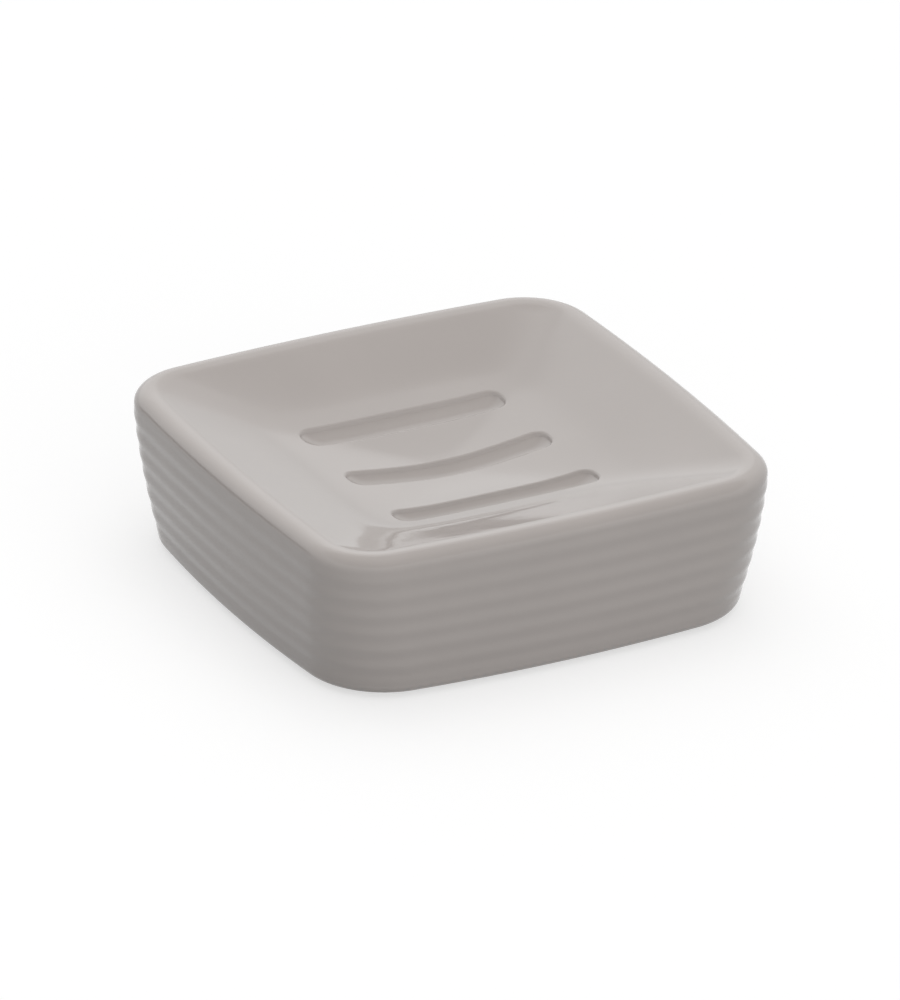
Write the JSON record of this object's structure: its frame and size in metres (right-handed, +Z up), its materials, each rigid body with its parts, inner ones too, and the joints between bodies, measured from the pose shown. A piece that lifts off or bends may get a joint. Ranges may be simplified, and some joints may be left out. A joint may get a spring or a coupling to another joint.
{
  "type": "soap dish",
  "caption": "Square free-standing ceramic soap dish with rounded corners, a shallow dished top with blind drain grooves, softly ringed sides and non-slip feet",
  "frame": {"origin": "on the surface that the feet stand on, under the middle of the dish", "axes": "+Z up, X along the drain grooves, -Y towards the front"},
  "size_m": [0.11, 0.11, 0.0346],
  "materials": {
    "glaze": "glossy warm grey glaze",
    "plug": "satin soft moulding",
    "foot": "matt"
  },
  "bodies": {
    "root": {"dish_body": "glaze", "casting_hole_plug": "plug", "foot_front_left": "foot", "foot_front_right": "foot", "foot_back_left": "foot", "foot_back_right": "foot"}
  },
  "joints": []
}
